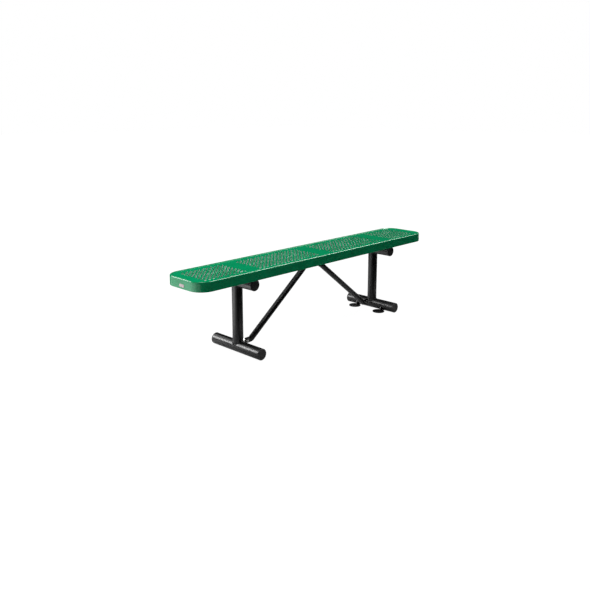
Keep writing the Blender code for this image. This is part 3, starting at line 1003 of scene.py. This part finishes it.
def bolt_mesh(head, length, flat):
    """A hex bolt: chamfered head below z = 0, plain shank, then thread up to its end."""
    loops = [circle(HEX_FACE * flat, -head, HEX_SIDES), hex_loop(-head, flat, -1)]
    loops.append(hex_loop(-BEARING_FACE, flat, 0))
    for radius, z in ((HEX_FACE * flat, -BEARING_FACE), (HEX_FACE * flat, 0.0), (BOLT_RADIUS, 0.0)):
        loops.append(circle(radius, z, HEX_SIDES))
    for radius, z in threaded(length * PLAIN_SHANK, length):
        loops.append(circle(radius, z, HEX_SIDES))
    return mesh_from(loft(loops), "hex_bolt")


def nut_mesh(height, flat):
    """A hex nut with both faces chamfered and a plain bore that clears the bolt."""
    bore = BOLT_RADIUS + GAP
    loops = [
        circle(bore, THREAD_DEPTH, HEX_SIDES),
        circle(bore + THREAD_DEPTH, 0.0, HEX_SIDES),
        circle(HEX_FACE * flat, 0.0, HEX_SIDES),
        hex_loop(0.0, flat, -1),
        hex_loop(height, flat, 1),
        circle(HEX_FACE * flat, height, HEX_SIDES),
        circle(bore + THREAD_DEPTH, height, HEX_SIDES),
        circle(bore, height - THREAD_DEPTH, HEX_SIDES),
    ]
    return mesh_from(loft(loops, closed=True), "hex_nut")


def washer_mesh(radius, thickness):
    """A flat washer with broken edges."""
    edge = thickness * WASHER_EDGE
    profile = [
        (BOLT_HOLE_RADIUS, 0.0),
        (radius - edge, 0.0),
        (radius, edge),
        (radius, thickness - edge),
        (radius - edge, thickness),
        (BOLT_HOLE_RADIUS + edge, thickness),
        (BOLT_HOLE_RADIUS, thickness - edge),
    ]
    return mesh_from(turned(profile, HEX_SIDES, closed=True), "washer")


def seat_fasteners(material):
    """Bolts up through the plates and cross members, with their heads below."""
    for side, _ in SIDES:
        for number in SEAT_BOLTS:
            node = f"seat_bolt_{side}_{number}"
            size = size_of(node)
            low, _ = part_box(node)
            centre = centre_of(node)
            flat = size.y / 2
            seat = Vector((centre.x, centre.y, low.z + HEAD_HEIGHT))
            mesh = bolt_mesh(HEAD_HEIGHT, size.z - HEAD_HEIGHT, flat)
            piece_from(f"plate_bolt_{side}_{number}", mesh, material, [node], seat)
            node = f"seat_nut_{side}_{number}"
            low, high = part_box(node)
            seat = Vector((centre.x, centre.y, low.z))
            mesh = nut_mesh(high.z - low.z, flat)
            piece_from(f"plate_nut_{side}_{number}", mesh, material, [node], seat)


def brace_fasteners(material):
    """Bolts through the ends of the braces, with their heads to the front."""
    for side, _ in SIDES:
        for end in ("top", "low"):
            name = f"{end}_{side}"
            low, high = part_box(f"brace_bolt_{name}")
            centre = centre_of(f"brace_bolt_{name}")
            flat = HEX_FLATS / 2
            seat = Vector((centre.x, low.y + HEAD_HEIGHT, centre.z))
            mesh = bolt_mesh(HEAD_HEIGHT, high.y - seat.y, flat)
            piece_from(f"hex_bolt_{name}", mesh, material, [f"brace_bolt_{name}"], seat, BACK)
            low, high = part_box(f"brace_washer_{name}")
            seat = Vector((centre.x, high.y, centre.z))
            mesh = washer_mesh((high.x - low.x) / 2, high.y - low.y)
            piece_from(f"flat_washer_{name}", mesh, material, [f"brace_washer_{name}"], seat, FRONT)
            low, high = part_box(f"brace_nut_{name}")
            seat = Vector((centre.x, low.y, centre.z))
            mesh = nut_mesh(high.y - low.y, flat)
            piece_from(f"hex_nut_{name}", mesh, material, [f"brace_nut_{name}"], seat, BACK)


# Materials


def noise(tree, scale, detail=2.0, stretch=(1.0, 1.0, 1.0)):
    """A noise value over the object, with its scale in features per metre."""
    nodes, links = tree.nodes, tree.links
    place = nodes.new("ShaderNodeTexCoord")
    mapping = nodes.new("ShaderNodeMapping")
    mapping.inputs["Scale"].default_value = stretch
    texture = nodes.new("ShaderNodeTexNoise")
    texture.inputs["Scale"].default_value = scale
    texture.inputs["Detail"].default_value = detail
    links.new(place.outputs["Object"], mapping.inputs["Vector"])
    links.new(mapping.outputs["Vector"], texture.inputs["Vector"])
    return texture.outputs["Fac"]


def map_range(tree, value, source, target):
    """Maps a value from one range to another, and holds it at the target's ends."""
    span = tree.nodes.new("ShaderNodeMapRange")
    span.inputs["From Min"].default_value, span.inputs["From Max"].default_value = source
    span.inputs["To Min"].default_value, span.inputs["To Max"].default_value = target
    tree.links.new(value, span.inputs["Value"])
    return span.outputs["Result"]


def spread(tree, value, low, high):
    """Maps the middle of a noise value's range to low and high."""
    return map_range(tree, value, NOISE_MIDDLE, (low, high))


def blend_colours(tree, value, first, second):
    """A mix of two colours, the first where the value is 0 and the second where it is 1."""
    nodes, links = tree.nodes, tree.links
    mix = nodes.new("ShaderNodeMix")
    mix.data_type = "RGBA"
    mix.inputs["A"].default_value = (*first, 1.0)
    mix.inputs["B"].default_value = (*second, 1.0)
    links.new(value, mix.inputs["Factor"])
    return mix.outputs["Result"]


def bump(tree, value, height, below=None):
    """A bump whose distance is in metres, on top of another bump if one is given."""
    nodes, links = tree.nodes, tree.links
    node = nodes.new("ShaderNodeBump")
    node.inputs["Strength"].default_value = 1.0
    node.inputs["Distance"].default_value = height
    links.new(value, node.inputs["Height"])
    if below is not None:
        links.new(below, node.inputs["Normal"])
    return node.outputs["Normal"]


def textured(name, clouds, colours, patches, roughness, bumps):
    """A material made from noises, with a slot of the same name.

    clouds and patches are the (scale, detail) of its colour and its roughness. bumps are
    (height, scale, detail) or (height, scale, detail, stretch), lowest first.
    """
    material = bpy.data.materials.new(name)
    material.use_nodes = True
    material["slot"] = name
    tree = material.node_tree
    share = spread(tree, noise(tree, *clouds), 0.0, 1.0)
    normal = None
    for height, *texture in bumps:
        normal = bump(tree, noise(tree, *texture), height, normal)
    sources = {
        "Base Color": blend_colours(tree, share, *colours),
        "Roughness": spread(tree, noise(tree, *patches), *roughness),
        "Normal": normal,
    }
    for socket, source in sources.items():
        tree.links.new(source, tree.nodes["Principled BSDF"].inputs[socket])
    return material


def green_coating():
    """A thick glossy coating: a soft orange peel, faint clouds in its green, and uneven gloss."""
    return textured(
        "green_coating",
        clouds=(9.0, 3.0),
        colours=((0.0, 0.235, 0.088), (0.0, 0.275, 0.108)),
        patches=(60.0, 4.0),
        roughness=(0.16, 0.24),
        bumps=((0.00012, 330.0, 1.5), (0.00002, 1500.0, 2.0)),
    )


def black_powder_coat():
    """Satin powder coat with a fine pebbled grain."""
    return textured(
        "black_powder_coat",
        clouds=(14.0, 4.0),
        colours=((0.0030, 0.0030, 0.0032), (0.0055, 0.0055, 0.0058)),
        patches=(90.0, 3.0),
        roughness=(0.26, 0.38),
        bumps=((0.00006, 900.0, 2.0), (0.00010, 160.0, 1.0)),
    )


def black_plastic():
    """Moulded plastic with a fine spark-eroded texture."""
    return textured(
        "black_plastic",
        clouds=(40.0, 3.0),
        colours=((0.018, 0.018, 0.019), (0.030, 0.030, 0.031)),
        patches=(300.0, 3.0),
        roughness=(0.46, 0.60),
        bumps=((0.00003, 2200.0, 3.0),),
    )


def zinc_plate():
    """Bright zinc plating with faint warm and cool patches and fine drawn lines."""
    material = textured(
        "zinc_plate",
        clouds=(220.0, 3.0),
        colours=((0.52, 0.54, 0.55), (0.66, 0.64, 0.58)),
        patches=(500.0, 4.0),
        roughness=(0.24, 0.42),
        bumps=((0.00002, 900.0, 3.0, (1.0, 1.0, 0.15)),),
    )
    material.node_tree.nodes["Principled BSDF"].inputs["Metallic"].default_value = 1.0
    return material


def galvanized_sheet():
    """Galvanized sheet: dull light grey with a faint spangle."""
    return textured(
        "galvanized_steel",
        clouds=(110.0, 2.0),
        colours=((0.44, 0.45, 0.46), (0.58, 0.59, 0.60)),
        patches=(150.0, 3.0),
        roughness=(0.42, 0.58),
        bumps=((0.00003, 700.0, 2.0),),
    )


def label_film():
    """Blank film, pinkish grey, with a slight unevenness."""
    return textured(
        "label_film",
        clouds=(120.0, 3.0),
        colours=((0.46, 0.36, 0.38), (0.56, 0.47, 0.49)),
        patches=(200.0, 2.0),
        roughness=(0.35, 0.50),
        bumps=((0.00004, 400.0, 1.0),),
    )


# Studio


def camera():
    """The camera of the main view."""
    data = bpy.data.cameras.new("camera")
    data.lens = CAMERA_LENS
    data.shift_y = CAMERA_SHIFT
    item = add_object("camera", data, CAMERA_PLACE)
    item.rotation_euler = (math.pi / 2 - CAMERA_PITCH, 0.0, -CAMERA_TURN)
    bpy.context.scene.camera = item


def softbox(name, place, target, size, radiance):
    """A rectangular light that the camera can't see, aimed at a point."""
    data = bpy.data.lights.new(name, "AREA")
    data.shape = "RECTANGLE"
    data.size, data.size_y = size
    data.energy = radiance * math.pi * size[0] * size[1]
    item = add_object(name, data, place)
    item.rotation_euler = (Vector(target) - Vector(place)).to_track_quat("-Z", "Y").to_euler()
    item.visible_camera = False
    return item


def distant_light(name, source, angle, strength):
    """A broad light from far away, so that it falls evenly along the bench."""
    data = bpy.data.lights.new(name, "SUN")
    data.energy = strength
    data.angle = angle
    item = add_object(name, data)
    item.rotation_euler = Vector(source).to_track_quat("Z", "Y").to_euler()


def surroundings():
    """White round the floor for the camera, and dim walls for everything else."""
    world = bpy.data.worlds.new("studio")
    world.use_nodes = True
    nodes, links = world.node_tree.nodes, world.node_tree.links
    walls = nodes["Background"]
    walls.inputs["Color"].default_value = (*WALL_COLOUR, 1.0)
    backdrop = nodes.new("ShaderNodeBackground")
    ray = nodes.new("ShaderNodeLightPath")
    mix = nodes.new("ShaderNodeMixShader")
    links.new(ray.outputs["Is Camera Ray"], mix.inputs["Fac"])
    links.new(walls.outputs["Background"], mix.inputs[1])
    links.new(backdrop.outputs["Background"], mix.inputs[2])
    links.new(mix.outputs["Shader"], nodes["World Output"].inputs["Surface"])
    backdrop.inputs["Color"].default_value = (*BACKDROP_COLOUR, 1.0)
    bpy.context.scene.world = world


def floor_shine(tree):
    """The floor's level in reflections, from FLOOR_SHINE near its centre line to nothing."""
    nodes, links = tree.nodes, tree.links
    place = nodes.new("ShaderNodeNewGeometry")
    depth = nodes.new("ShaderNodeSeparateXYZ")
    offset = nodes.new("ShaderNodeMath")
    offset.operation = "SUBTRACT"
    offset.inputs[1].default_value = SHINE_CENTRE_Y
    distance = nodes.new("ShaderNodeMath")
    distance.operation = "ABSOLUTE"
    links.new(place.outputs["Position"], depth.inputs["Vector"])
    links.new(depth.outputs["Y"], offset.inputs[0])
    links.new(offset.outputs["Value"], distance.inputs[0])
    return map_range(tree, distance.outputs["Value"], SHINE_FADE, (FLOOR_SHINE, 0.0))


def floor_seen(tree):
    """The floor as the camera sees it: almost white, with hardly a shadow."""
    nodes, links = tree.nodes, tree.links
    surface = nodes.new("ShaderNodeBsdfDiffuse")
    surface.inputs["Color"].default_value = (*FLOOR_SEEN, 1.0)
    glow = nodes.new("ShaderNodeEmission")
    glow.inputs["Strength"].default_value = FLOOR_GLOW
    bright = nodes.new("ShaderNodeAddShader")
    links.new(surface.outputs["BSDF"], bright.inputs[0])
    links.new(glow.outputs["Emission"], bright.inputs[1])
    return bright.outputs["Shader"]


def floor_material():
    """Near white to the camera, dimmer for bounced light, and a bright strip in reflections."""
    material = bpy.data.materials.new("floor")
    material.use_nodes = True
    tree = material.node_tree
    nodes, links = tree.nodes, tree.links
    nodes.remove(nodes["Principled BSDF"])
    ray = nodes.new("ShaderNodeLightPath")
    level = nodes.new("ShaderNodeMapRange")
    level.inputs["To Min"].default_value = FLOOR_BOUNCE
    bounce = nodes.new("ShaderNodeBsdfDiffuse")
    mix = nodes.new("ShaderNodeMixShader")
    links.new(floor_shine(tree), level.inputs["To Max"])
    links.new(ray.outputs["Is Glossy Ray"], level.inputs["Value"])
    links.new(level.outputs["Result"], bounce.inputs["Color"])
    links.new(ray.outputs["Is Camera Ray"], mix.inputs["Fac"])
    links.new(bounce.outputs["BSDF"], mix.inputs[1])
    links.new(floor_seen(tree), mix.inputs[2])
    links.new(mix.outputs["Shader"], nodes["Material Output"].inputs["Surface"])
    return material


def floor():
    """A wide floor just below the feet."""
    half = FLOOR_SIZE / 2
    corners = [(-half, -half), (half, -half), (half, half), (-half, half)]
    mesh = bpy.data.meshes.new("floor")
    mesh.from_pydata([(x, y, -FLOOR_DROP) for x, y in corners], [], [(0, 1, 2, 3)])
    mesh.materials.append(floor_material())
    item = add_object("floor", mesh)


def studio():
    """The camera, the floor and the lights, tuned together for the main view."""
    camera()
    surroundings()
    floor()
    for light in DISTANT_LIGHTS:
        distant_light(*light)
    for light in LIGHTS:
        softbox(*light)
    softbox(*UNDER_LIGHT).visible_glossy = False
    bpy.context.scene.view_settings.view_transform = "Standard"


def bench():
    green = green_coating()
    black = black_powder_coat()
    plastic = black_plastic()
    zinc = zinc_plate()
    galvanized = galvanized_sheet()
    plank(green, galvanized)
    stiffener(galvanized)
    label(label_film())
    for place in ("left", "center", "right"):
        cross_member(place, galvanized)
    centre_bracket(black)
    for side, sign in SIDES:
        mount_plate(side, black)
        column(side, black)
        brace_ear(side, black)
        brace(side, sign, black)
        for kind in ("foot", "top"):
            cross_tube(kind, side, black)
            plugs(kind, side, plastic)
            column_weld(side, kind, black)
        for end, _ in ENDS:
            anchor_disc(end, side, black)
    seat_fasteners(zinc)
    brace_fasteners(zinc)


studio()
bench()
